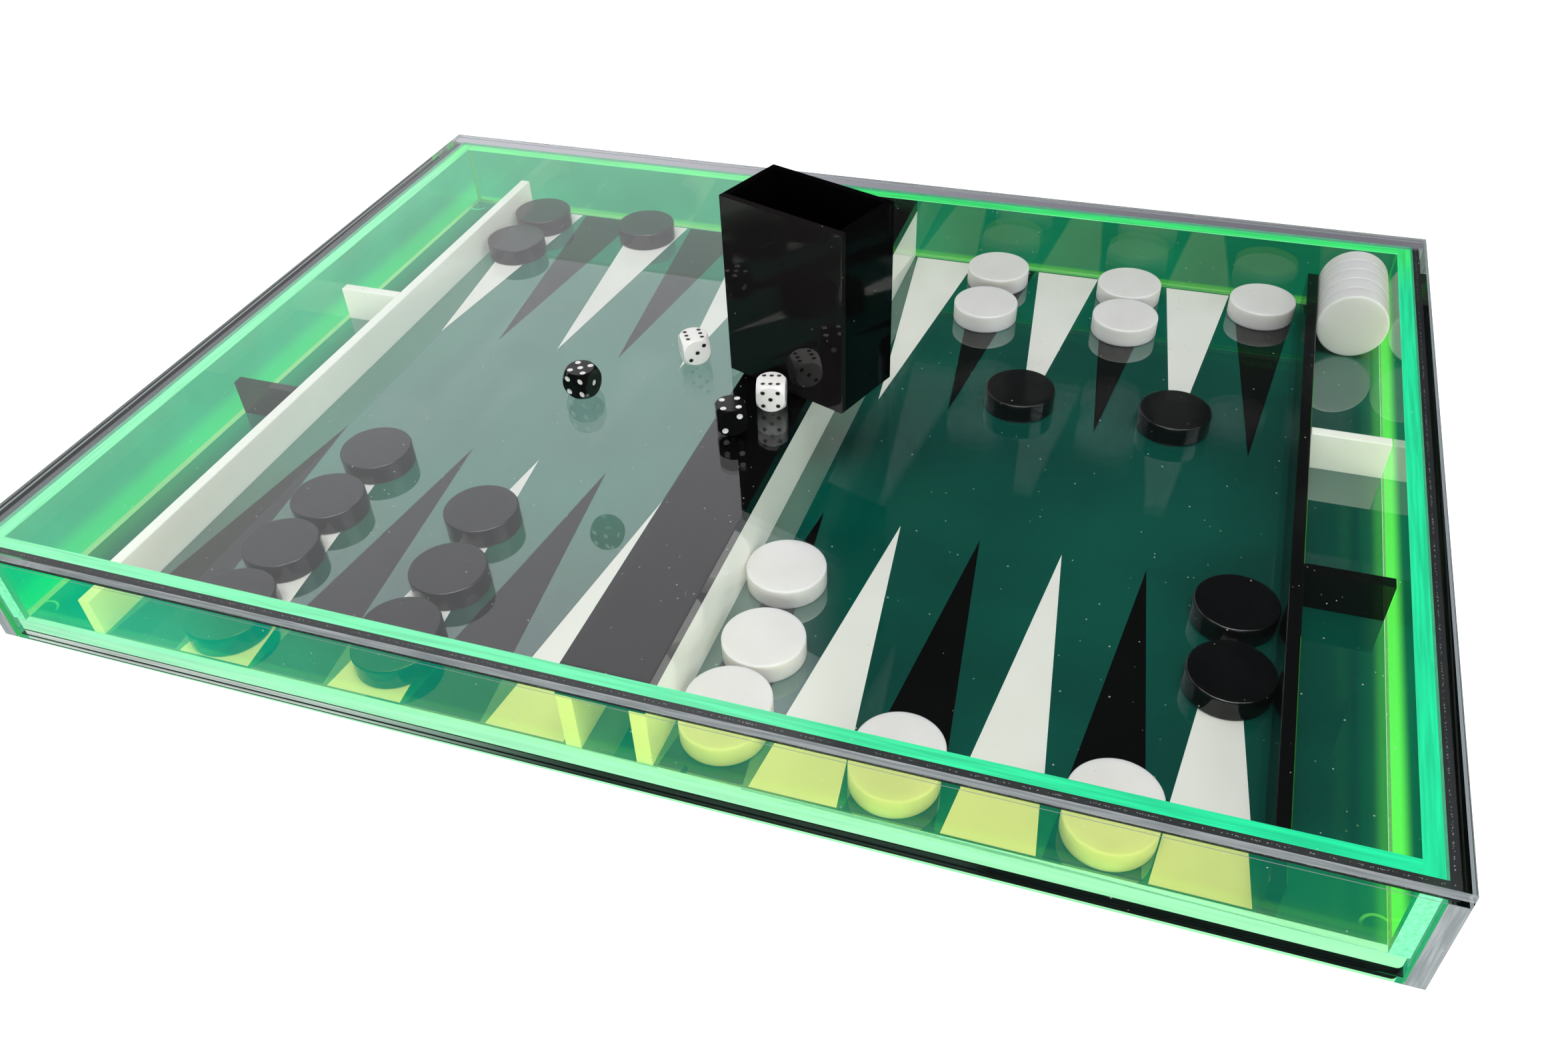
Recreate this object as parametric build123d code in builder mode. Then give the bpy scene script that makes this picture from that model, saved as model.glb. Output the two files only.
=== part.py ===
# Backgammon set in acrylic sheet: neon board tray, clear lift-off lid, checkers, dice and a throwing cup.
# Millimetres, +Z up. Origin: middle of the closed lid's footprint, on the surface the set stands on.
# +X points to the right side of the set, -Y towards its front, +Z up through the lid.

import os

from build123d import *

os.makedirs("parts", exist_ok=True)

# ---------------------------------------------------------------- driving dimensions
sheet = 6.0  # thickness of the lid, wall and floor sheets

lid_width = 530.0
lid_depth = 389.0
lid_height = 48.0
lid_gap = 0.5  # play between the lid's skirt and the tray, each side

base_thickness = 3.0  # black sheet under the tray
wall_top = 41.0  # top edge of the tray walls

tray_width = lid_width - 2 * (sheet + lid_gap)
tray_depth = lid_depth - 2 * (sheet + lid_gap)
floor_top = base_thickness + sheet
inner_x = tray_width / 2 - sheet  # inside face of the side walls
inner_y = tray_depth / 2 - sheet  # inside face of the front and back walls
floor_corner = 2.5  # corner radius of the base and floor sheets

inlay_depth = 3.0
point_base = 31.0  # width of a point at the wall
point_pitch = 33.0
point_base_y = 181.0
point_tip_y = 43.0
points_per_quarter = 6

bar_width = 33.0
bar_plate = 6.0  # thickness of the black plate on the bar
bar_fit = 0.2  # play of the bar between the front and back walls

divider_thickness = 5.0
divider_height = 17.0
divider_inner_x = 215.5  # field side of each trough divider
partition_y = 45.0

foot_radius = 4.8
foot_hole_radius = 5.0
foot_inset = 11.0  # foot centre from the tray's outer faces

checker_radius = 15.7
checker_height = 9.0
checker_edge = 0.8

cup_width = 60.0
cup_depth = 34.4
cup_height = 79.0
cup_sheet = 3.0
cup_x, cup_y, cup_turn = 13.1, 4.1, -20.2

die_side = 12.0
die_ball_radius = 8.35  # sphere that rounds the edges and corners
black_pip_radius = 1.3
white_pip_radius = 0.95
pip_offset = 3.1
pip_depth = 0.5

half_tray_x, half_tray_y = tray_width / 2, tray_depth / 2
half_lid_x, half_lid_y = lid_width / 2, lid_depth / 2
foot_x, foot_y = half_tray_x - foot_inset, half_tray_y - foot_inset

# ---------------------------------------------------------------- base sheet and feet
# The base sheet closes the tray from below. Four round feet sit in holes at its corners.
with BuildPart() as base_sheet:
    with BuildSketch(Plane.XY):
        RectangleRounded(tray_width, tray_depth, floor_corner)
        with GridLocations(2 * foot_x, 2 * foot_y, 2, 2):
            Circle(foot_hole_radius, mode=Mode.SUBTRACT)
    extrude(amount=base_thickness)
base_sheet.part.label = "base_sheet"
export_step(base_sheet.part, "parts/base_sheet.step")

with BuildPart() as feet:
    with BuildSketch(Plane.XY):
        with GridLocations(2 * foot_x, 2 * foot_y, 2, 2):
            Circle(foot_radius)
    extrude(amount=base_thickness)
    chamfer(feet.edges().group_by(Axis.Z)[0], 0.4)
feet.part.label = "feet"
export_step(feet.part, "parts/feet.step")

# ---------------------------------------------------------------- floor and inlaid points
# Points stand base to wall in four groups of six, and their colours alternate along each side.
# The colours mirror front to back, so every dark point faces a light one across the board.
point_axes = [bar_width / 2 + 17.0 + point_pitch * i for i in range(points_per_quarter)]
first_axes = [side * x for i, x in enumerate(point_axes) for side in (-1, 1) if (i % 2 == 0) == (side > 0)]
second_axes = [side * x for i, x in enumerate(point_axes) for side in (-1, 1) if (i % 2 == 0) != (side > 0)]

# One outline each way: base on the front side with the tip pointing back, and the reverse.
front_outline = [(-point_base / 2, -point_base_y), (point_base / 2, -point_base_y), (0, -point_tip_y)]
back_outline = [(point_base / 2, point_base_y), (-point_base / 2, point_base_y), (0, point_tip_y)]

with BuildPart() as tray_floor:
    with BuildSketch(Plane.XY.offset(base_thickness)):
        RectangleRounded(tray_width, tray_depth, floor_corner)
    extrude(amount=sheet)
    with BuildSketch(Plane.XY.offset(floor_top)):
        with Locations([(x, 0) for x in first_axes + second_axes]):
            Polygon(*front_outline, align=None)
            Polygon(*back_outline, align=None)
    extrude(amount=-inlay_depth, mode=Mode.SUBTRACT)
tray_floor.part.label = "tray_floor"
export_step(tray_floor.part, "parts/tray_floor.step")

with BuildPart() as points_black:
    with BuildSketch(Plane.XY.offset(floor_top - inlay_depth)):
        with Locations([(x, 0) for x in first_axes]):
            Polygon(*front_outline, align=None)
        with Locations([(x, 0) for x in second_axes]):
            Polygon(*back_outline, align=None)
    extrude(amount=inlay_depth)
points_black.part.label = "points_black"
export_step(points_black.part, "parts/points_black.step")

with BuildPart() as points_white:
    with BuildSketch(Plane.XY.offset(floor_top - inlay_depth)):
        with Locations([(x, 0) for x in second_axes]):
            Polygon(*front_outline, align=None)
        with Locations([(x, 0) for x in first_axes]):
            Polygon(*back_outline, align=None)
    extrude(amount=inlay_depth)
points_white.part.label = "points_white"
export_step(points_white.part, "parts/points_white.step")

# ---------------------------------------------------------------- tray walls
# The side walls run the full depth. The front and back walls stand between them.
for wall_name, x in (("tray_wall_left", -inner_x - sheet / 2), ("tray_wall_right", inner_x + sheet / 2)):
    with BuildPart() as side_wall:
        with BuildSketch(Plane.XY.offset(floor_top)):
            with Locations((x, 0)):
                Rectangle(sheet, tray_depth)
        extrude(amount=wall_top - floor_top)
        chamfer(side_wall.edges().group_by(Axis.Z)[-1], 0.3)
    side_wall.part.label = wall_name
    export_step(side_wall.part, f"parts/{wall_name}.step")

for wall_name, y in (("tray_wall_front", -inner_y - sheet / 2), ("tray_wall_back", inner_y + sheet / 2)):
    with BuildPart() as end_wall:
        with BuildSketch(Plane.XY.offset(floor_top)):
            with Locations((0, y)):
                Rectangle(2 * inner_x, sheet)
        extrude(amount=wall_top - floor_top)
        chamfer(end_wall.edges().group_by(Axis.Z)[-1].filter_by(Axis.X), 0.3)
    end_wall.part.label = wall_name
    export_step(end_wall.part, f"parts/{wall_name}.step")

# ---------------------------------------------------------------- bar
# Two upright walls carry a plate across them, and the space between them is a closed channel.
bar_length = 2 * (inner_y - bar_fit)
bar_wall_x = bar_width / 2 - sheet / 2
for wall_name, x in (("bar_wall_left", -bar_wall_x), ("bar_wall_right", bar_wall_x)):
    with BuildPart() as bar_wall:
        with BuildSketch(Plane.XY.offset(floor_top)):
            with Locations((x, 0)):
                Rectangle(sheet, bar_length)
        extrude(amount=wall_top - bar_plate - floor_top)
    bar_wall.part.label = wall_name
    export_step(bar_wall.part, f"parts/{wall_name}.step")

with BuildPart() as bar_top:
    with BuildSketch(Plane.XY.offset(wall_top - bar_plate)):
        Rectangle(bar_width, bar_length)
    extrude(amount=bar_plate)
    chamfer(bar_top.edges().group_by(Axis.Z)[-1], 0.4)
bar_top.part.label = "bar_plate"
export_step(bar_top.part, "parts/bar_plate.step")

# ---------------------------------------------------------------- trough dividers and partitions
# A low divider cuts a side trough off each field, and two cross partitions share the trough out.
divider_x = divider_inner_x + divider_thickness / 2
for divider_name, x in (("divider_left", -divider_x), ("divider_right", divider_x)):
    with BuildPart() as divider:
        with BuildSketch(Plane.XY.offset(floor_top)):
            with Locations((x, 0)):
                Rectangle(divider_thickness, bar_length)
        extrude(amount=divider_height)
        chamfer(divider.edges().group_by(Axis.Z)[-1], 0.3)
    divider.part.label = divider_name
    export_step(divider.part, f"parts/{divider_name}.step")

trough_inner_x = divider_inner_x + divider_thickness
trough_x = (trough_inner_x + inner_x) / 2
partition_length = inner_x - trough_inner_x - 2 * bar_fit
for partition_name, y in (("partitions_black", -partition_y), ("partitions_white", partition_y)):
    with BuildPart() as partitions:
        with BuildSketch(Plane.XY.offset(floor_top)):
            with Locations((-trough_x, y), (trough_x, y)):
                Rectangle(partition_length, divider_thickness)
        extrude(amount=divider_height)
        chamfer(partitions.edges().group_by(Axis.Z)[-1], 0.3)
    partitions.part.label = partition_name
    export_step(partitions.part, f"parts/{partition_name}.step")

# ---------------------------------------------------------------- lid
# The skirt reaches the table and hides the tray; the top sheet lies on all four skirt walls.
with BuildPart() as lid_top:
    with BuildSketch(Plane.XY.offset(lid_height - sheet)):
        Rectangle(lid_width, lid_depth)
    extrude(amount=sheet)
    chamfer(lid_top.edges().group_by(Axis.Z)[-1], 0.4)
lid_top.part.label = "lid_top"
export_step(lid_top.part, "parts/lid_top.step")

for wall_name, x in (("lid_wall_left", sheet / 2 - half_lid_x), ("lid_wall_right", half_lid_x - sheet / 2)):
    with BuildPart() as side_skirt:
        with BuildSketch(Plane.XY):
            with Locations((x, 0)):
                Rectangle(sheet, lid_depth)
        extrude(amount=lid_height - sheet)
        chamfer(side_skirt.edges().group_by(Axis.Z)[0], 0.3)
    side_skirt.part.label = wall_name
    export_step(side_skirt.part, f"parts/{wall_name}.step")

for wall_name, y in (("lid_wall_front", sheet / 2 - half_lid_y), ("lid_wall_back", half_lid_y - sheet / 2)):
    with BuildPart() as end_skirt:
        with BuildSketch(Plane.XY):
            with Locations((0, y)):
                Rectangle(lid_width - 2 * sheet, sheet)
        extrude(amount=lid_height - sheet)
        chamfer(end_skirt.edges().group_by(Axis.Z)[0].filter_by(Axis.X), 0.3)
    end_skirt.part.label = wall_name
    export_step(end_skirt.part, f"parts/{wall_name}.step")

# ---------------------------------------------------------------- throwing cup
# An open box of five glued panels, standing on the lid and turned a little.
cup_frame = Plane.XY.offset(lid_height) * Pos(cup_x, cup_y) * Rot(0, 0, cup_turn)
with BuildPart() as cup_bottom:
    with BuildSketch(cup_frame):
        Rectangle(cup_width - 2 * cup_sheet, cup_depth - 2 * cup_sheet)
    extrude(amount=cup_sheet)
cup_bottom.part.label = "cup_bottom"
export_step(cup_bottom.part, "parts/cup_bottom.step")

cup_side_x = cup_width / 2 - cup_sheet / 2
for panel_name, x in (("cup_side_left", -cup_side_x), ("cup_side_right", cup_side_x)):
    with BuildPart() as cup_side:
        with BuildSketch(cup_frame):
            with Locations((x, 0)):
                Rectangle(cup_sheet, cup_depth - 2 * cup_sheet)
        extrude(amount=cup_height)
    cup_side.part.label = panel_name
    export_step(cup_side.part, f"parts/{panel_name}.step")

cup_face_y = cup_depth / 2 - cup_sheet / 2
for panel_name, y in (("cup_front", -cup_face_y), ("cup_back", cup_face_y)):
    with BuildPart() as cup_face:
        with BuildSketch(cup_frame):
            with Locations((0, y)):
                Rectangle(cup_width, cup_sheet)
        extrude(amount=cup_height)
        chamfer(cup_face.edges().filter_by(Axis.Z), 0.3)
    cup_face.part.label = panel_name
    export_step(cup_face.part, f"parts/{panel_name}.step")

# ---------------------------------------------------------------- dice
# A cube trimmed by a sphere, with shallow drilled pips on all six faces.
s = pip_offset
pip_layouts = {
    1: [(0, 0)],
    2: [(-s, -s), (s, s)],
    3: [(-s, -s), (0, 0), (s, s)],
    4: [(-s, -s), (-s, s), (s, -s), (s, s)],
    5: [(-s, -s), (-s, s), (0, 0), (s, -s), (s, s)],
    6: [(-s, -s), (-s, 0), (-s, s), (s, -s), (s, 0), (s, s)],
}
# name, x, y, turn about Z, number on top, number facing the front, number facing right, and the
# direction across the top number's pattern
dice = [
    ("die_black_a", -75.1, -35.8, -7.0, 5, 4, 1, (1, 0, 0)),
    ("die_black_b", -5.0, -43.8, 26.0, 4, 2, 1, (1, 0, 0)),
    ("die_white_a", -38.7, 1.5, 35.0, 6, 3, 5, (1, 0, 0)),
    ("die_white_b", 5.3, -23.2, 14.0, 6, 5, 3, (0, 1, 0)),
]
for die_name, x, y, turn, top, front, right, top_across in dice:
    die_frame = Pos(x, y, lid_height + die_side / 2) * Rot(0, 0, turn)
    half = die_side / 2
    pip_radius = black_pip_radius if "black" in die_name else white_pip_radius
    faces = {
        top: Plane(origin=(0, 0, half), x_dir=top_across, z_dir=(0, 0, 1)),
        7 - top: Plane(origin=(0, 0, -half), x_dir=(1, 0, 0), z_dir=(0, 0, -1)),
        front: Plane(origin=(0, -half, 0), x_dir=(1, 0, 0), z_dir=(0, -1, 0)),
        7 - front: Plane(origin=(0, half, 0), x_dir=(-1, 0, 0), z_dir=(0, 1, 0)),
        right: Plane(origin=(half, 0, 0), x_dir=(0, 1, 0), z_dir=(1, 0, 0)),
        7 - right: Plane(origin=(-half, 0, 0), x_dir=(0, -1, 0), z_dir=(-1, 0, 0)),
    }
    with BuildPart() as die:
        with Locations(die_frame):
            Box(die_side, die_side, die_side)
            Sphere(die_ball_radius, mode=Mode.INTERSECT)
        for number, face_plane in faces.items():
            with BuildSketch(Plane(die_frame * face_plane.location)):
                with Locations(pip_layouts[number]):
                    Circle(pip_radius)
            extrude(amount=-pip_depth, mode=Mode.SUBTRACT)
    die.part.label = die_name
    export_step(die.part, f"parts/{die_name}.step")

# ---------------------------------------------------------------- checkers
# Thirty equal discs. All the dark ones and ten light ones lie flat on the board.
white_spots = [
    (32.4, -89.0), (36.7, -128.6), (34.8, -160.8), (97.5, -165.0), (168.5, -165.0),
    (65.8, 128.4), (64.8, 165.6), (133.9, 133.4), (131.9, 165.6), (196.7, 165.6),
]
black_spots = [
    (199.2, -62.0), (199.7, -98.5), (96.6, 56.8), (165.2, 57.6), (-167.3, -65.1),
    (-168.6, -101.0), (-169.8, -133.1), (-168.4, -165.2), (-101.0, -90.4), (-95.4, -127.8),
    (-96.6, -161.6), (-199.4, 164.6), (-199.0, 130.3), (-135.1, 165.0), (-68.5, 164.6),
]
flat_checkers = [(f"checker_black_{i:02d}", x, y) for i, (x, y) in enumerate(black_spots, 1)]
flat_checkers += [(f"checker_white_{i:02d}", x, y) for i, (x, y) in enumerate(white_spots, 1)]
for checker_name, x, y in flat_checkers:
    with BuildPart() as checker:
        with BuildSketch(Plane.XY.offset(floor_top)):
            with Locations((x, y)):
                Circle(checker_radius)
        extrude(amount=checker_height)
        fillet(checker.edges(), checker_edge)
    checker.part.label = checker_name
    export_step(checker.part, f"parts/{checker_name}.step")

# The other five light checkers stand on edge in a roll against the back wall, in the right trough.
roll_count = 5
roll_gap = 0.3
roll_spacing = 0.1
roll_axis_z = floor_top + checker_radius + roll_gap
for i in range(roll_count):
    back_y = inner_y - roll_gap - i * (checker_height + roll_spacing)
    with BuildPart() as roll_checker:
        with BuildSketch(Plane.XZ.offset(-back_y)):
            with Locations((trough_x, roll_axis_z)):
                Circle(checker_radius)
        extrude(amount=checker_height)
        fillet(roll_checker.edges(), checker_edge)
    roll_name = f"checker_white_{len(white_spots) + 1 + i:02d}"
    roll_checker.part.label = roll_name
    export_step(roll_checker.part, f"parts/{roll_name}.step")
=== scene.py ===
"""Looks of an acrylic backgammon set: neon board tray under a clear lid, with checkers, dice and a cup."""

import math

import bmesh
import bpy
from mathutils import Matrix, Vector


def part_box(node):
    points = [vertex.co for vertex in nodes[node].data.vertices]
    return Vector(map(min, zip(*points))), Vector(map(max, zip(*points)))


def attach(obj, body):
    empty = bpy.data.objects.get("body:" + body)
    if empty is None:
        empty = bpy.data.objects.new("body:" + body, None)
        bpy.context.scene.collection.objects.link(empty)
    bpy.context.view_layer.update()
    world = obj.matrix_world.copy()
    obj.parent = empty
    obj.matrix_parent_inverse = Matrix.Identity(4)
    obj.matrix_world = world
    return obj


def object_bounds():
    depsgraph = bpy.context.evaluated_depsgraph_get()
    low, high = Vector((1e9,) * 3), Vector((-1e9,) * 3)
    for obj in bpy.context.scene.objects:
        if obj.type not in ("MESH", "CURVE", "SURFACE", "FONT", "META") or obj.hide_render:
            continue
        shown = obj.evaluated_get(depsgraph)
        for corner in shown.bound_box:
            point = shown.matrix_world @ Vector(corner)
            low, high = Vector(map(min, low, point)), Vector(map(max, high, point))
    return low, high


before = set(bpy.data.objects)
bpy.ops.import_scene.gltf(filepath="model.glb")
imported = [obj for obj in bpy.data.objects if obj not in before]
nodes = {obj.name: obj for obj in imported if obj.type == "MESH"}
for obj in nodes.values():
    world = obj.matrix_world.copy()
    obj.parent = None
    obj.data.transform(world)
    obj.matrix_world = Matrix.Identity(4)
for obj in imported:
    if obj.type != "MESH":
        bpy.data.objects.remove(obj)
cad_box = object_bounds()
scene = bpy.context.scene

MM = 0.001
TOP = Vector((0, 0, 1))


def srgb(r, g, b):
    """A colour given in 0 to 255 display values, as linear RGBA."""
    def linear(v):
        v = v / 255
        return v / 12.92 if v <= 0.04045 else ((v + 0.055) / 1.055) ** 2.4
    return (linear(r), linear(g), linear(b), 1.0)


# ---------------------------------------------------------------- shader building
class Shader:
    """One node material. Its methods add nodes and return their output sockets."""

    def __init__(self, name):
        self.material = bpy.data.materials.new(name)
        self.material.use_nodes = True
        self.tree = self.material.node_tree
        self.tree.nodes.clear()
        self.output = self.tree.nodes.new("ShaderNodeOutputMaterial")
        self.place = self.add("ShaderNodeTexCoord").outputs["Object"]
        geometry = self.add("ShaderNodeNewGeometry")
        self.normal = geometry.outputs["Normal"]
        self.backfacing = geometry.outputs["Backfacing"]
        self.world = geometry.outputs["Position"]

    def add(self, kind, inputs=None, **settings):
        node = self.tree.nodes.new(kind)
        for key, value in settings.items():
            setattr(node, key, value)
        for key, value in (inputs or {}).items():
            self.feed(node.inputs[key], value)
        return node

    def feed(self, socket, value):
        if isinstance(value, bpy.types.NodeSocket):
            self.tree.links.new(value, socket)
        else:
            socket.default_value = value

    def math(self, operation, a, b=0.0, clamp=False):
        return self.add("ShaderNodeMath", {0: a, 1: b}, operation=operation, use_clamp=clamp).outputs[0]

    def ramp(self, value, low, high, to_low=0.0, to_high=1.0):
        """value, taken from low..high to to_low..to_high with smooth ends."""
        inputs = {"Value": value, "From Min": low, "From Max": high, "To Min": to_low, "To Max": to_high}
        return self.add("ShaderNodeMapRange", inputs, interpolation_type="SMOOTHSTEP").outputs[0]

    def blend(self, factor, a, b):
        node = self.add("ShaderNodeMix", data_type="RGBA")
        self.feed(node.inputs[0], factor)
        self.feed(node.inputs[6], a)
        self.feed(node.inputs[7], b)
        return node.outputs[2]

    def axes(self, vector):
        return self.add("ShaderNodeSeparateXYZ", {0: vector}).outputs

    def stretched(self, stretch):
        return self.add("ShaderNodeMapping", {"Vector": self.place, "Scale": stretch}).outputs[0]

    def noise(self, scale, detail=3.0, stretch=(1, 1, 1), roughness=0.5):
        inputs = {"Vector": self.stretched(stretch), "Scale": scale, "Detail": detail, "Roughness": roughness}
        return self.add("ShaderNodeTexNoise", inputs).outputs["Fac"]

    def specks(self, scale, radius, share):
        """Small round specks, scale of them to the metre, in a share of the cells."""
        cells = self.add("ShaderNodeTexVoronoi", {"Vector": self.place, "Scale": scale})
        chosen = self.math("LESS_THAN", self.axes(cells.outputs["Color"])[0], share)
        near = self.math("LESS_THAN", cells.outputs["Distance"], radius)
        return self.math("MULTIPLY", chosen, near)

    def bump(self, height, strength, distance=0.0002):
        inputs = {"Height": height, "Strength": strength, "Distance": distance}
        return self.add("ShaderNodeBump", inputs).outputs[0]

    def principled(self, **inputs):
        named = {key.replace("_", " ").title().replace("Ior", "IOR"): value for key, value in inputs.items()}
        return self.add("ShaderNodeBsdfPrincipled", named).outputs[0]

    def absolute(self, value):
        return self.math("ABSOLUTE", value)

    def inverse(self, mask):
        return self.math("SUBTRACT", 1.0, mask)

    def mix(self, share, a, b):
        """Shader a, with a share of shader b."""
        return self.add("ShaderNodeMixShader", {0: share, 1: a, 2: b}).outputs[0]

    def emission(self, colour, strength=1.0):
        return self.add("ShaderNodeEmission", {"Color": colour, "Strength": strength}).outputs[0]

    def transparent(self, tint):
        return self.add("ShaderNodeBsdfTransparent", {"Color": tint}).outputs[0]

    def lets_light_through(self, surface, tint):
        """The surface for what is seen, and plain tinted clear for lamp light and soft bounces."""
        rays = self.add("ShaderNodeLightPath").outputs
        passing = self.math("MAXIMUM", rays["Is Shadow Ray"], rays["Is Diffuse Ray"])
        return self.mix(passing, surface, self.transparent(tint))

    def done(self, surface):
        self.tree.links.new(surface, self.output.inputs["Surface"])
        return self.material


def paint(material, *names):
    for name in names:
        mesh = nodes[name].data
        mesh.materials.clear()
        mesh.materials.append(material)


# ---------------------------------------------------------------- materials
ACRYLIC_IOR = 1.49
DUST = {"base_color": srgb(205, 210, 208), "roughness": 0.8}
GLUE_CLEAR = (0.97, 0.98, 0.98, 1)
FOOT_RADIUS = 4.8 * MM
FLOOR_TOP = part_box("tray_floor")[1].z
SKIRT_INNER_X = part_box("lid_wall_right")[0].x
SKIRT_INNER_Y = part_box("lid_wall_back")[0].y


def facing(s, axis, sign=0):
    """1 on faces that look along an axis; with a sign, only on those that look that way from outside."""
    along = s.axes(s.normal)["xyz".index(axis)]
    if sign == 0:
        return s.math("GREATER_THAN", s.absolute(along), 0.5)
    flip = s.inverse(s.math("MULTIPLY", s.backfacing, 2.0))
    outward = s.math("MULTIPLY", s.math("MULTIPLY", along, flip), sign)
    return s.math("GREATER_THAN", outward, 0.5)


def both(s, *masks):
    total = masks[0]
    for mask in masks[1:]:
        total = s.math("MULTIPLY", total, mask)
    return total


def either(s, *masks):
    total = masks[0]
    for mask in masks[1:]:
        total = s.math("MAXIMUM", total, mask)
    return total


def beyond(s, coordinate, limit):
    """1 where a coordinate lies further from the middle than limit."""
    return s.math("GREATER_THAN", s.absolute(coordinate), limit)


def within(s, coordinate, limit):
    """1 where a coordinate lies nearer the middle than limit."""
    return s.math("LESS_THAN", s.absolute(coordinate), limit)


def near(s, coordinate, place, reach):
    """1 where a coordinate is within reach of a place."""
    return within(s, s.math("SUBTRACT", coordinate, place), reach)


def solid_acrylic(name, colour, shade, gloss=0.1, dust=0.35, scatter=0.0, specular=0.5, edge_specular=None,
                  glow=0.0):
    """Opaque acrylic sheet: faint mottling, wiped smudges, hairline scratches and dust. edge_specular, if
    given, is the gloss of its upward faces. glow is the strength of a pale painted glow, painted light that
    brightens the sheet."""
    s = Shader(name)
    mottle = s.noise(18, 4)
    colours = s.blend(s.ramp(mottle, 0.35, 0.7), colour, shade)
    dusty = s.specks(420, 0.12, dust * 0.3)
    colours = s.blend(s.math("MULTIPLY", dusty, 0.5), colours, srgb(170, 170, 165))
    smudge = s.ramp(s.noise(9, 5, (1, 2.2, 1)), 0.45, 0.75, gloss, gloss + 0.06)
    scratch = s.noise(700, 2, (1, 0.03, 1))
    level = specular
    if edge_specular is not None:
        level = s.ramp(s.axes(s.normal)[2], 0.5, 0.9, specular, edge_specular)
    # glow paints a pale glow over the sheet: painted light, not a lamp.
    surface = s.principled(
        base_color=colours, roughness=smudge, ior=ACRYLIC_IOR, normal=s.bump(scratch, 0.08, 0.0001),
        specular_ior_level=level, subsurface_weight=scatter, subsurface_radius=(0.004, 0.004, 0.003),
        subsurface_scale=1.0, emission_color=(0.95, 1.0, 0.84, 1), emission_strength=glow,
    )
    return s.done(surface)


def base_material():
    """The black base sheet. Its edges carry a painted glow, painted light standing in for the neon sheet
    above
    and the window: strong towards the window, faint in the middle and none on the right."""
    s = Shader("black_base")
    x, y, z = s.axes(s.place)
    side = both(s, s.inverse(facing(s, "z")), s.math("LESS_THAN", z, 0.0024))
    streak = s.ramp(s.noise(500, 3, (0.03, 1, 1)), 0.25, 0.75, 0.5, 1.0)
    # light is the strength of the painted glow on the side faces.
    light = s.math("ADD", s.ramp(x, 0.0, -0.13, 0.0, 1.0), s.ramp(x, 0.135, 0.125, 0.0, 0.05))
    light = both(s, side, streak, light)
    colours = s.blend(s.noise(30, 4), srgb(6, 6, 7), srgb(12, 12, 13))
    surface = s.principled(
        base_color=colours, roughness=s.ramp(s.noise(9, 4), 0.3, 0.7, 0.2, 0.35), specular_ior_level=0.05,
        emission_color=s.blend(s.ramp(x, -0.02, -0.16), (0.50, 0.85, 0.62, 1), (0.88, 1.0, 0.90, 1)),
        emission_strength=light,
    )
    return s.done(surface)


def moulded_disc(name, colour, shade, roughness, scatter=0.0, specular=0.5):
    """Cast and tumbled checkers and dice, with a very fine grain and a few handling marks. specular is the
    gloss of the flat faces."""
    s = Shader(name)
    mottle = s.noise(60, 4)
    colours = s.blend(s.ramp(mottle, 0.35, 0.7), colour, shade)
    marks = s.specks(420, 0.10, 0.05)
    colours = s.blend(s.math("MULTIPLY", marks, 0.4), colours, srgb(190, 190, 185))
    wear = s.ramp(s.noise(45, 5), 0.4, 0.75, roughness, roughness + 0.06)
    grain = s.noise(2600, 3)
    surface = s.principled(
        base_color=colours, roughness=wear, ior=ACRYLIC_IOR, normal=s.bump(grain, 0.12, 0.0001),
        specular_ior_level=s.ramp(s.absolute(s.axes(s.normal)[2]), 0.3, 0.9, 0.45, specular),
        subsurface_weight=scatter, subsurface_radius=(0.005, 0.005, 0.004), subsurface_scale=1.0,
    )
    return s.done(surface)


def clear_sheet(name, sawn_along, frosted, cement=None, inner_lit=None):
    """Clear acrylic. From (shader, x, y, z), frosted gives the mask of matt sawn edges, cement the mask of
    glued faces and the shader seen on them, and inner_lit, if given, the mask of faces with a painted green
    glow, painted light from the neon wall beside them. Faces that rest on the table are painted dark as
    painted contact shade, and their gloss is tinted green as painted neon light."""
    s = Shader(name)
    x, y, z = s.axes(s.place)
    frost_mask = frosted(s, x, y, z)
    stretch = {"x": (0.05, 1, 1), "y": (1, 0.05, 1), "z": (1, 1, 0.05)}[sawn_along]
    saw = s.noise(900, 2, stretch)
    smear = s.ramp(s.noise(7, 5, (1, 2.5, 1)), 0.6, 0.9, 0.0, 0.01)
    # Painted shade: the faces resting on the table are coloured dark, with green-tinted gloss as painted
    # light.
    table_contact_shade = both(s, facing(s, "z", -1), s.math("LESS_THAN", z, 0.001))
    glass = s.principled(
        base_color=s.blend(table_contact_shade, srgb(250, 252, 253), srgb(25, 25, 27)), roughness=smear,
        ior=ACRYLIC_IOR, transmission_weight=1.0,
        specular_tint=s.blend(table_contact_shade, (1, 1, 1, 1), (0.60, 1.0, 0.30, 1)),
    )
    frost_colour = s.blend(s.ramp(saw, 0.3, 0.7), srgb(150, 158, 160), srgb(186, 192, 194))
    frost = s.principled(
        base_color=frost_colour, roughness=0.3, ior=ACRYLIC_IOR, normal=s.bump(saw, 0.3, 0.0001),
    )
    faced = s.mix(frost_mask, glass, frost)
    dusty = s.math("MULTIPLY", s.specks(330, 0.10, 0.05), 0.5)
    faced = s.mix(dusty, faced, s.principled(**DUST))
    if cement is not None:
        glued, glue = cement(s, x, y, z)
        faced = s.mix(glued, faced, glue)
    if inner_lit is not None:
        # green is a painted glow, standing in for light from the neon wall.
        green = s.blend(s.noise(300, 2), (0.01, 0.30, 0.14, 1), (0.03, 0.50, 0.24, 1))
        faced = s.mix(inner_lit(s, x, y, z), faced, s.emission(green))
    return s.done(s.lets_light_through(faced, srgb(250, 252, 252)))


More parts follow.
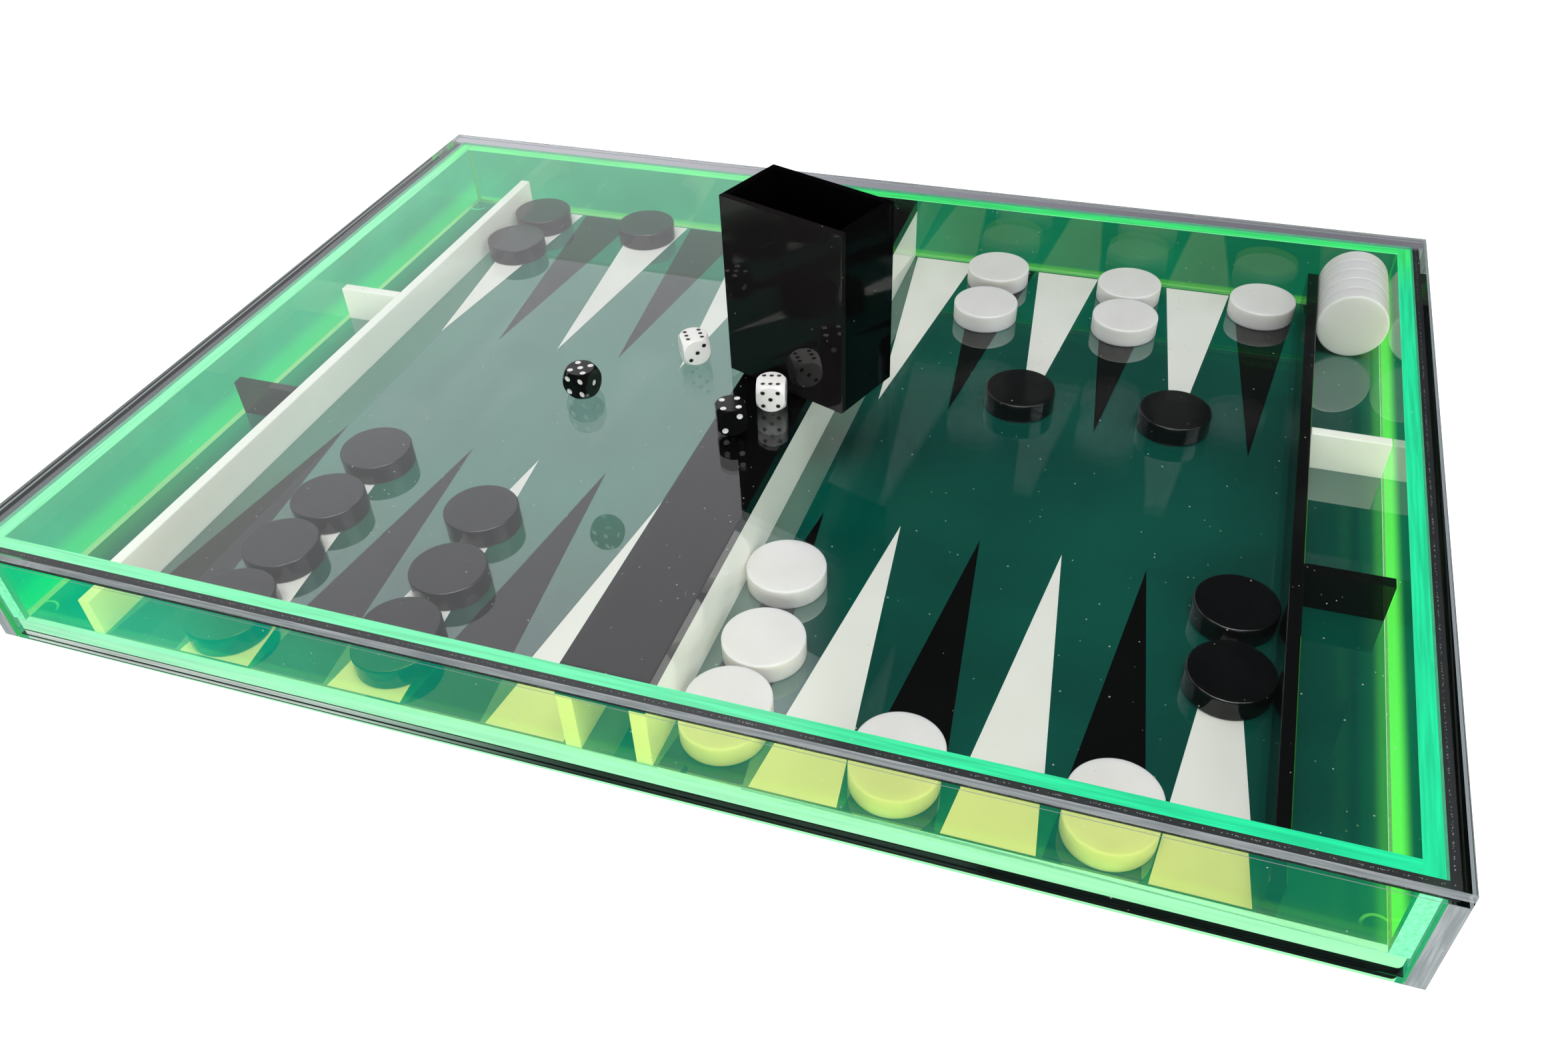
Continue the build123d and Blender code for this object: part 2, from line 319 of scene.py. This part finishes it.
def lid_joint(s, x, y):
    """The cemented joint between the lid's top and its skirt, as both its faces show it: a dark inner strip
    with a row of bubbles, a clear strip, and a thin grey line at the very edge. It is grey on the left. At
    the back it is silver all across, a painted sheen that is brightest towards the window on the left."""
    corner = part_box("lid_top")[1]
    inset_x = s.math("SUBTRACT", corner.x, s.absolute(x))
    inset_y = s.math("SUBTRACT", corner.y, s.absolute(y))
    inset = s.math("MINIMUM", inset_x, inset_y)
    strip = either(s, s.ramp(inset, 2.7 * MM, 3.4 * MM), s.math("GREATER_THAN", y, SKIRT_INNER_Y - 0.1 * MM))
    line = s.math("LESS_THAN", inset, 0.5 * MM)
    bubbles = both(s, s.specks(1500, 0.33, 0.8), near(s, inset, 4.6 * MM, 0.3 * MM))
    colours = s.blend(s.noise(40, 3), srgb(24, 25, 26), srgb(46, 47, 49))
    # silver is a painted sheen, brighter towards the window on the left.
    silver = s.blend(s.ramp(x, -0.25, 0.2), srgb(205, 200, 208), srgb(128, 122, 132))
    colours = s.blend(s.ramp(x, -0.252, -0.258), colours, srgb(100, 104, 106))
    colours = s.blend(s.ramp(y, 0.185, 0.189), colours, silver)
    colours = s.blend(s.math("MULTIPLY", bubbles, 0.8), colours, srgb(150, 155, 152))
    colours = s.blend(line, colours, srgb(150, 156, 160))
    glue = s.principled(base_color=colours, roughness=0.35)
    covered = either(s, s.math("MULTIPLY", strip, 0.93), s.math("MULTIPLY", line, 0.8))
    return s.mix(covered, s.transparent(GLUE_CLEAR), glue)


def closed(s, z):
    """1 while the lid is down, fading to 0 as it lifts off the neon walls; it fades the lid's painted glow.
    """
    return s.ramp(s.math("SUBTRACT", s.axes(s.world)[2], z), 0.003, 0.03, 1.0, 0.0)


def corner_joint(s, z):
    """The cemented joint at the skirt's corners, with a painted green glow for the neon edge beside it."""
    streak = s.ramp(s.noise(500, 3, (1, 1, 0.05)), 0.3, 0.7, 0.7, 1.1)
    lit = s.emission((0.10, 0.80, 0.16, 1), streak)
    return s.mix(s.math("MULTIPLY", closed(s, z), 0.6), s.transparent(GLUE_CLEAR), lit)


def neon_colours(s, x, y, z):
    """The painted glow of the neon sheets' edges and their hazy painted glow, both painted light. The edge
    glow is mintier towards the window, paler low down, and palest at the front joint between floor and walls;
    the hazy glow is brightest towards the window."""
    across = s.ramp(x, -0.26, 0.24)
    low_down = s.ramp(z, 0.024, 0.010)
    joint = near(s, z, FLOOR_TOP, 0.1 * MM)
    edge = s.blend(across, (0.22, 0.90, 0.40, 1), (0.012, 0.72, 0.31, 1))
    edge = s.blend(low_down, edge, s.blend(across, (0.48, 1.0, 0.60, 1), (0.46, 1.0, 0.52, 1)))
    edge = s.blend(both(s, joint, s.math("LESS_THAN", y, -0.18)), edge, (0.50, 1.0, 0.95, 1))
    # Painted light: a hazy green glow, brightest towards the window.
    haze_glow = s.blend(s.ramp(x, -0.26, 0.12), (0.0, 0.31, 0.21, 1), (0.001, 0.085, 0.055, 1))
    return edge, haze_glow


def neon_wall(name, edge_axes, face_axis, out_sign, foot_reach, foot_light):
    """Fluorescent green sheet. It is clear and yellow-green when looked through into the tray. Looked at from
    inside the tray it is an opaque, deep green mirror with olive-tinted reflections, painted shade for the
    dim room behind it, with a painted green glow over it. A hazy painted glow lies over the whole sheet, and
    its edges carry a painted glow, fainter seen from inside. foot_light is the painted glow along its foot,
    foot_reach high."""
    s = Shader(name)
    x, y, z = s.axes(s.place)
    edge_colour, haze_glow_colour = neon_colours(s, x, y, z)
    # Painted glow colour: deeper green towards the back, and mintier on the front ends of the side walls.
    edge_colour = s.blend(s.ramp(y, 0.14, 0.187), edge_colour, (0.05, 0.80, 0.13, 1))
    if face_axis == "x":
        front_end = both(s, facing(s, "y"), s.math("LESS_THAN", y, 0.0))
        edge_colour = s.blend(front_end, edge_colour, (0.34, 1.10, 0.58, 1))
    edge = either(s, *[facing(s, axis) for axis in edge_axes])
    outward = facing(s, face_axis, out_sign)
    outer = both(s, outward, s.backfacing)
    run = (0.04, 1.0, 1.0) if face_axis == "y" else (1.0, 0.04, 1.0)
    streak = s.noise(650, 3, run)
    cloud = s.ramp(s.noise(14, 4), 0.3, 0.75)
    sheet = s.principled(
        base_color=(1.0, 0.96, 0.30, 1), roughness=0.0, ior=ACRYLIC_IOR, transmission_weight=1.0,
        specular_ior_level=s.math("SUBTRACT", 0.5, s.math("MULTIPLY", outward, 0.4)),
    )
    # The deep green face seen from inside is painted shade; deep_glow and the foot glow are painted light on
    # it.
    foot = s.ramp(z, FLOOR_TOP + foot_reach, FLOOR_TOP + 0.35 * foot_reach)
    deep_glow = s.blend(cloud, (0.0, 0.060, 0.055, 1), (0.0, 0.085, 0.072, 1))
    deep_glow = s.blend(foot, deep_glow, foot_light)
    deep = s.principled(
        base_color=(0.001, 0.012, 0.010, 1), roughness=0.02, ior=1.9, emission_color=deep_glow,
        emission_strength=1.0, specular_tint=(0.38, 0.52, 0.08, 1),
    )
    seen = s.mix(s.math("MULTIPLY", outer, 0.995), sheet, deep)
    side_share = s.math("ADD", 0.3, s.math("MULTIPLY", outward, 0.7))
    # A hazy painted glow, stronger on the outward faces.
    haze_glow = s.emission(haze_glow_colour, s.math("MULTIPLY", s.ramp(cloud, 0, 1, 0.8, 1.1), side_share))
    seen = s.add("ShaderNodeAddShader", {0: seen, 1: haze_glow}).outputs[0]
    # The edges' painted glow, fainter seen from inside.
    from_outside = s.inverse(s.math("MULTIPLY", s.backfacing, 0.85))
    glow = s.principled(
        base_color=(0.01, 0.20, 0.10, 1), roughness=0.25, ior=ACRYLIC_IOR, emission_color=edge_colour,
        emission_strength=s.math("MULTIPLY", s.ramp(streak, 0.25, 0.75, 0.72, 1.15), from_outside),
        normal=s.bump(streak, 0.3, 0.0001),
    )
    return s.done(s.lets_light_through(s.mix(edge, seen, glow), (0.97, 1.0, 0.85, 1)))


def neon_floor():
    """Neon sheet over the black base: deep green from above, with a painted glow all round its rim, less at
    the back and on the left, a faint painted glow near the walls, a painted bright ring in each corner where
    a foot's hole lies under it, and a painted pool of green light towards the front left."""
    s = Shader("neon_floor")
    x, y, z = s.axes(s.place)
    cloud = s.ramp(s.noise(9, 5, (1, 1.6, 1)), 0.3, 0.75)
    colours = s.blend(cloud, srgb(4, 72, 62), srgb(8, 90, 75))
    dusty = s.math("MULTIPLY", s.specks(300, 0.10, 0.06), 0.5)
    colours = s.blend(dusty, colours, srgb(150, 190, 160))
    wall_y, wall_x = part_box("tray_wall_back")[0].y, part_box("tray_wall_right")[0].x
    rim = either(s, beyond(s, y, wall_y - 0.1 * MM), beyond(s, x, wall_x - 0.1 * MM))
    streak = s.noise(400, 3, (0.05, 0.05, 1.0))
    edge_colour = neon_colours(s, x, y, z)[0]
    foot_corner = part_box("feet")[1]
    across = s.math("SUBTRACT", s.absolute(x), foot_corner.x - FOOT_RADIUS + 2 * MM)
    along = s.math("SUBTRACT", s.absolute(y), foot_corner.y - FOOT_RADIUS)
    reach = s.math("ADD", s.math("MULTIPLY", across, across), s.math("MULTIPLY", along, along))
    reach = s.math("SQRT", reach)
    # Painted light: a bright ring over each foot's hole.
    ring = s.math("MULTIPLY", near(s, reach, FOOT_RADIUS, 0.5 * MM), s.ramp(along, 1 * MM, -4 * MM))
    # Painted glow: faint near the walls.
    near_wall = either(s, s.ramp(s.absolute(y), wall_y - 12 * MM, wall_y),
                       s.ramp(s.absolute(x), wall_x - 10 * MM, wall_x))
    at_back = s.ramp(y, 0.17, 0.18, 0.0, 0.65)
    at_left = both(s, s.ramp(x, -0.24, -0.25, 0.0, 0.6), s.ramp(y, -0.185, -0.18))
    glow = both(s, s.ramp(streak, 0.2, 0.8, 0.85, 1.1), s.inverse(at_back), s.inverse(at_left))
    glow = s.math("ADD", s.math("MULTIPLY", rim, glow), s.math("MULTIPLY", near_wall, 0.05))
    glow = s.math("MAXIMUM", glow, s.math("MULTIPLY", ring, 0.45))
    # lit is a painted pool of green light towards the front left.
    lit = both(s, s.ramp(x, 0.03, -0.06), s.ramp(y, -0.15, -0.06), s.inverse(rim))
    glow_colour = s.blend(rim, (0.25, 1.0, 0.15, 1), edge_colour)
    glow_colour = s.blend(s.math("MULTIPLY", lit, 0.9), glow_colour, (0.0, 1.0, 0.62, 1))
    glow = s.math("ADD", glow, s.math("MULTIPLY", lit, 0.062))
    surface = s.principled(
        base_color=colours, roughness=s.ramp(s.noise(8, 4), 0.4, 0.8, 0.01, 0.06), ior=2.8,
        specular_tint=(0.94, 1.0, 0.98, 1), emission_color=glow_colour, emission_strength=glow,
    )
    return s.done(surface)


def lid_top_material():
    """The lid's top sheet: its edges are matt over their upper half, and it is glued to the skirt."""
    low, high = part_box("lid_top")
    frost_from = high.z - 0.52 * (high.z - low.z)

    def frosted(s, x, y, z):
        side = either(s, facing(s, "x"), facing(s, "y"))
        return s.math("MULTIPLY", both(s, side, s.math("GREATER_THAN", z, frost_from)), 0.6)

    def cement(s, x, y, z):
        over_skirt = either(s, beyond(s, y, SKIRT_INNER_Y), beyond(s, x, SKIRT_INNER_X))
        return both(s, facing(s, "z", -1), over_skirt), lid_joint(s, x, y)

    return clear_sheet("lid_top_clear", "x", frosted, cement)


def lid_wall_material(name, side):
    """A wall of the lid's skirt, a side wall or an end wall. Its top and its corner joints are glued, and its
    inside face carries a painted green glow, painted light from the neon wall beside it."""
    def frosted(s, x, y, z):
        return s.math("MULTIPLY", facing(s, "y"), 0.8 if side else 0.0)

    def cement(s, x, y, z):
        corner = facing(s, "x")
        if side:
            corner = both(s, corner, beyond(s, y, SKIRT_INNER_Y), within(s, x, SKIRT_INNER_X + 1 * MM))
        top = facing(s, "z", 1)
        return either(s, top, corner), s.mix(top, corner_joint(s, z), lid_joint(s, x, y))

    # inside gives the faces with the painted green glow.
    def inside(s, x, y, z):
        face = both(s, facing(s, "y"), within(s, y, SKIRT_INNER_Y + 0.1 * MM))
        if side:
            face = both(s, facing(s, "x"), within(s, x, SKIRT_INNER_X + 0.1 * MM))
        return both(s, face, s.inverse(s.backfacing), s.math("MULTIPLY", closed(s, z), 0.9))

    return clear_sheet(name, "z", frosted, cement, inside)


def foot_material():
    """The clear round feet in the base sheet."""
    def turned(s, x, y, z):
        return s.math("MULTIPLY", either(s, facing(s, "x"), facing(s, "y")), 0.3)

    return clear_sheet("foot_clear", "z", turned)


# The white sheets carry a painted glow (glow=0.14), painted light that brightens them.
white_sheet = solid_acrylic("white_sheet", srgb(240, 240, 230), srgb(234, 235, 224), 0.08, 0.1, 0.3,
                            glow=0.14)
black_sheet = solid_acrylic("black_sheet", srgb(9, 9, 10), srgb(13, 13, 14), 0.03, 0.3)
# Lit and shaded copies of the cup's black: the front's lighter colour is painted light, the rest painted
# shade.
cup_sheet_shaded = solid_acrylic("cup_sheet_shaded", srgb(5, 5, 6), srgb(9, 8, 9), 0.03, 0.08, specular=0.4,
                          edge_specular=0.0)
cup_front_lit = solid_acrylic("cup_front_lit", srgb(22, 19, 20), srgb(27, 24, 25), 0.03, 0.1, edge_specular=0.0)
black_bar = solid_acrylic("black_bar", srgb(8, 8, 9), srgb(13, 12, 13), 0.03, 0.3, edge_specular=0.35)
white_inlay = solid_acrylic("white_inlay", srgb(240, 238, 230), srgb(234, 232, 223), 0.08, 0.05)
black_inlay = solid_acrylic("black_inlay", srgb(4, 4, 4), srgb(7, 7, 7), 0.02, 0.2, specular=0.9)
white_disc = moulded_disc("white_disc", srgb(233, 228, 226), srgb(228, 223, 220), 0.32, 0.9, 0.35)
black_disc = moulded_disc("black_disc", srgb(4, 4, 5), srgb(7, 7, 8), 0.14, specular=0.7)
white_bone = moulded_disc("white_die", srgb(244, 243, 240), srgb(238, 237, 232), 0.14, 0.3)
black_bone = moulded_disc("black_die", srgb(12, 12, 13), srgb(18, 18, 18), 0.12)

paint(white_sheet, "bar_wall_left", "bar_wall_right", "divider_left", "partitions_white")
paint(black_sheet, "divider_right", "partitions_black")
paint(black_bar, "bar_plate")
paint(base_material(), "base_sheet")
paint(cup_sheet_shaded, "cup_bottom", "cup_side_left", "cup_side_right", "cup_back")
paint(cup_front_lit, "cup_front")
paint(white_inlay, "points_white")
paint(black_inlay, "points_black")
paint(white_disc, *[n for n in nodes if n.startswith("checker_white")])
paint(black_disc, *[n for n in nodes if n.startswith("checker_black")])
paint(white_bone, "die_white_a", "die_white_b")
paint(black_bone, "die_black_a", "die_black_b")
paint(foot_material(), "feet")
paint(neon_floor(), "tray_floor")
# Each wall's last argument is the colour of its painted foot glow.
paint(neon_wall("neon_front", "xz", "y", -1, 0.004, (0.2, 0.9, 0.1, 1)), "tray_wall_front")
paint(neon_wall("neon_back", "xz", "y", 1, 0.003, (0.06, 0.30, 0.03, 1)), "tray_wall_back")
paint(neon_wall("neon_left", "yz", "x", -1, 0.014, (0.01, 0.33, 0.06, 1)), "tray_wall_left")
paint(neon_wall("neon_right", "yz", "x", 1, 0.022, (0.20, 1.45, 0.19, 1)), "tray_wall_right")
paint(lid_top_material(), "lid_top")
paint(lid_wall_material("lid_end_clear", side=False), "lid_wall_front", "lid_wall_back")
paint(lid_wall_material("lid_side_clear", side=True), "lid_wall_left", "lid_wall_right")

# ---------------------------------------------------------------- dice pips
PIP_OFFSET, PIP_DEPTH = 3.1 * MM, 0.5 * MM
PIP_DISH = 0.3 * MM
PIP_PLACES = {
    1: [(0, 0)],
    2: [(-1, -1), (1, 1)],
    3: [(-1, -1), (0, 0), (1, 1)],
    4: [(-1, -1), (-1, 1), (1, -1), (1, 1)],
    5: [(-1, -1), (-1, 1), (0, 0), (1, -1), (1, 1)],
    6: [(-1, -1), (-1, 0), (-1, 1), (1, -1), (1, 0), (1, 1)],
}
# node, turn about Z in degrees, number on top, number at the front, number at the right, whether the top
# number's pattern is turned a quarter, radius of its pips
DICE = [
    ("die_black_a", -7.0, 5, 4, 1, False, 1.3 * MM),
    ("die_black_b", 26.0, 4, 2, 1, False, 1.3 * MM),
    ("die_white_a", 35.0, 6, 3, 5, False, 0.95 * MM),
    ("die_white_b", 14.0, 6, 5, 3, True, 0.95 * MM),
]


def pip_paint(name, colour):
    """Matt paint in the pits of a die, with uneven edges."""
    s = Shader(name)
    colours = s.blend(s.ramp(s.noise(900, 3), 0.3, 0.7), colour, tuple(0.82 * c for c in colour[:3]) + (1,))
    bump = s.bump(s.noise(2500, 2), 0.2, 0.0001)
    return s.done(s.principled(base_color=colours, roughness=0.5, normal=bump))


def add_dish(mesh, centre, across, up, out, radius, rings=3, steps=20):
    """A shallow dish in a pip's pit: its rim lies just off the pit's floor and its middle on it."""
    loops = []
    for ring in range(1, rings + 1):
        r = radius * 0.97 * ring / rings
        lift = PIP_DISH * (ring / rings) ** 2
        loop = []
        for step in range(steps):
            a = 2 * math.pi * step / steps
            loop.append(mesh.verts.new(centre + across * r * math.cos(a) + up * r * math.sin(a) + out * lift))
        loops.append(loop)
    middle = mesh.verts.new(centre)
    for i in range(steps):
        mesh.faces.new((middle, loops[0][i], loops[0][(i + 1) % steps]))
        for inner, outer in zip(loops, loops[1:]):
            mesh.faces.new((inner[i], outer[i], outer[(i + 1) % steps], inner[(i + 1) % steps]))


def pips(node, turn, top, front, right, quarter, radius, material, slot):
    low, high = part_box(node)
    centre, half = (low + high) / 2, (high.z - low.z) / 2
    spin = Matrix.Rotation(math.radians(turn), 3, "Z")
    mesh = bmesh.new()
    sides = [
        (top, (0, 1, 0) if quarter else (1, 0, 0), (-1, 0, 0) if quarter else (0, 1, 0)),
        (7 - top, (1, 0, 0), (0, -1, 0)),
        (front, (1, 0, 0), (0, 0, 1)), (7 - front, (-1, 0, 0), (0, 0, 1)),
        (right, (0, 1, 0), (0, 0, 1)), (7 - right, (0, -1, 0), (0, 0, 1)),
    ]
    for number, across, up in sides:
        across, up = spin @ Vector(across), spin @ Vector(up)
        out = across.cross(up)
        for u, v in PIP_PLACES[number]:
            at = centre + out * (half - PIP_DEPTH + 0.03 * MM) + (across * u + up * v) * PIP_OFFSET
            add_dish(mesh, at, across, up, out, radius)
    data = bpy.data.meshes.new(node + "_pips")
    mesh.to_mesh(data)
    mesh.free()
    for face in data.polygons:
        face.use_smooth = True
    data.materials.append(material)
    piece = bpy.data.objects.new(node + "_pips", data)
    scene.collection.objects.link(piece)
    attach(piece, node)


white_paint = pip_paint("pip_white", srgb(235, 235, 232))
black_paint = pip_paint("pip_black", srgb(16, 16, 17))
for node, *pattern in DICE:
    if "black" in node:
        pips(node, *pattern, white_paint, "white_die")
    else:
        pips(node, *pattern, black_paint, "black_die")

# ---------------------------------------------------------------- stage, light and camera
def stage_floor():
    """A white table top. Under the set it is painted dark as a painted shadow, and it is painted dark where
    it is seen mirrored in the set, as painted shade in those reflections.
    """
    s = Shader("stage_floor")
    x, y, z = s.axes(s.place)
    colours = s.blend(s.ramp(s.noise(3, 3), 0.3, 0.7), (0.90, 0.90, 0.90, 1), (0.92, 0.92, 0.92, 1))
    corner = cad_box[1]
    # Painted shadow under the set, and painted shade where the floor is seen mirrored.
    shaded = both(s, within(s, x, corner[0] - 3 * MM), within(s, y, corner[1] - 3 * MM))
    mirrored = s.math("GREATER_THAN", s.add("ShaderNodeLightPath").outputs["Glossy Depth"], 0.5)
    painted_dark = either(s, shaded, mirrored)
    colours = s.blend(painted_dark, colours, (0.02, 0.03, 0.03, 1))
    bright = s.math("MULTIPLY", s.inverse(painted_dark), 0.35)
    material = s.done(s.principled(
        base_color=colours, roughness=0.9, emission_color=(1, 1, 1, 1), emission_strength=bright,
        specular_ior_level=0.0,
    ))
    data = bpy.data.meshes.new("stage_floor")
    size, below = 6.0, -0.4 * MM
    data.from_pydata([(-size, -size, below), (size, -size, below), (size, size, below), (-size, size, below)],
                     [], [(0, 1, 2, 3)])
    data.materials.append(material)
    floor = bpy.data.objects.new("stage_floor", data)
    scene.collection.objects.link(floor)


def softbox(name, place, aim, width, height, brightness, colour=(1, 1, 1)):
    """A rectangular lamp of even brightness, in the scene's white."""
    data = bpy.data.lights.new(name, "AREA")
    data.shape = "RECTANGLE"
    data.size, data.size_y = width, height
    data.energy = brightness * width * height * math.pi
    data.color = colour
    lamp = bpy.data.objects.new(name, data)
    lamp.location = place
    lamp.rotation_euler = (Vector(aim) - Vector(place)).to_track_quat("-Z", "Y").to_euler()
    scene.collection.objects.link(lamp)
    return lamp


def fade_one_side(lamp, share):
    """Lets a rectangular lamp fade out over a share of its width, at its right side as the camera sees it."""
    lamp.data.use_nodes = True
    tree = lamp.data.node_tree
    emission = tree.nodes["Emission"]
    place = tree.nodes.new("ShaderNodeNewGeometry").outputs["Parametric"]
    parts = tree.nodes.new("ShaderNodeSeparateXYZ")
    tree.links.new(place, parts.inputs[0])
    fade = tree.nodes.new("ShaderNodeMapRange")
    fade.interpolation_type = "SMOOTHSTEP"
    fade.inputs["From Max"].default_value = share
    tree.links.new(parts.outputs[0], fade.inputs["Value"])
    tree.links.new(fade.outputs[0], emission.inputs["Strength"])


CAMERA_PLACE = Vector((0.1589, -0.4363, 0.3454))
CAMERA_AIM = Vector((0.0353, -0.1053, 0.025))
CAMERA_ROLL = -0.0495
# The window panel's two ends, as bearings from the camera, and how far off it stands
WINDOW_NEAR, WINDOW_FAR = math.radians(-16.0), math.radians(-85.0)
WINDOW_DISTANCE, WINDOW_HEIGHT, WINDOW_MIDDLE_Z = 2.2, 2.3, 1.45


def camera():
    data = bpy.data.cameras.new("camera")
    data.lens, data.sensor_width = 29.015, 36.0
    data.shift_x, data.shift_y = 0.0027, 0.0403
    data.clip_start, data.clip_end = 0.01, 50.0
    camera = bpy.data.objects.new("camera", data)
    ahead = (CAMERA_AIM - CAMERA_PLACE).normalized()
    right = ahead.cross(TOP).normalized()
    up = right.cross(ahead)
    turned = right * math.cos(CAMERA_ROLL) + up * math.sin(CAMERA_ROLL)
    upright = up * math.cos(CAMERA_ROLL) - right * math.sin(CAMERA_ROLL)
    pose = Matrix((turned, upright, -ahead)).transposed().to_4x4()
    camera.matrix_world = Matrix.Translation(CAMERA_PLACE) @ pose
    scene.collection.objects.link(camera)
    scene.camera = camera


def room():
    """A dim room, which is pale only where the camera looks straight at it."""
    world = bpy.data.worlds.new("world")
    scene.world = world
    world.use_nodes = True
    tree = world.node_tree
    background = tree.nodes["Background"]
    background.inputs["Color"].default_value = (0.95, 0.97, 1.0, 1)
    strength = tree.nodes.new("ShaderNodeMapRange")
    strength.inputs["To Min"].default_value = 0.022
    strength.inputs["To Max"].default_value = 1.0
    tree.links.new(tree.nodes.new("ShaderNodeLightPath").outputs["Is Camera Ray"], strength.inputs["Value"])
    tree.links.new(strength.outputs[0], background.inputs["Strength"])


def window_panel():
    """A tall white panel to the left, behind the set. The lid mirrors it, up to where its right end fades."""
    near_end, far_end = [
        CAMERA_PLACE + WINDOW_DISTANCE * Vector((math.sin(bearing), math.cos(bearing), 0))
        for bearing in (WINDOW_NEAR, WINDOW_FAR)
    ]
    middle = (near_end + far_end) / 2
    middle.z = WINDOW_MIDDLE_Z
    across = far_end - near_end
    inward = Vector((-across.y, across.x, 0)).normalized()
    if inward.dot(-middle) < 0:
        inward = -inward
    window = softbox("window_panel", middle, middle + inward, across.length, WINDOW_HEIGHT, 0.79,
                     (0.99, 0.97, 1.0))
    fade_one_side(window, 0.10)


def panels():
    """Soft light from above, and two fill panels that the set doesn't mirror."""
    softbox("key_panel", (0.4, -0.5, 2.4), (0, 0, 0), 2.0, 1.0, 4.5)
    front = softbox("front_panel", (0.3, -2.4, 0.62), (0, 0, 0), 2.6, 0.8, 4.6)
    side = softbox("side_panel", (2.3, -0.6, 1.2), (0, 0, 0), 1.6, 1.6, 2.6)
    for fill in (front, side):
        fill.visible_glossy = False
    softbox("top_panel", (-0.3, -0.3, 2.4), (0, 0, 0), 1.8, 1.8, 2.4)


stage_floor()
room()
window_panel()
panels()
camera()
scene.view_settings.view_transform = "Standard"
scene.cycles.max_bounces = 20
scene.cycles.transmission_bounces = 16
scene.cycles.transparent_max_bounces = 24
scene.cycles.glossy_bounces = 6
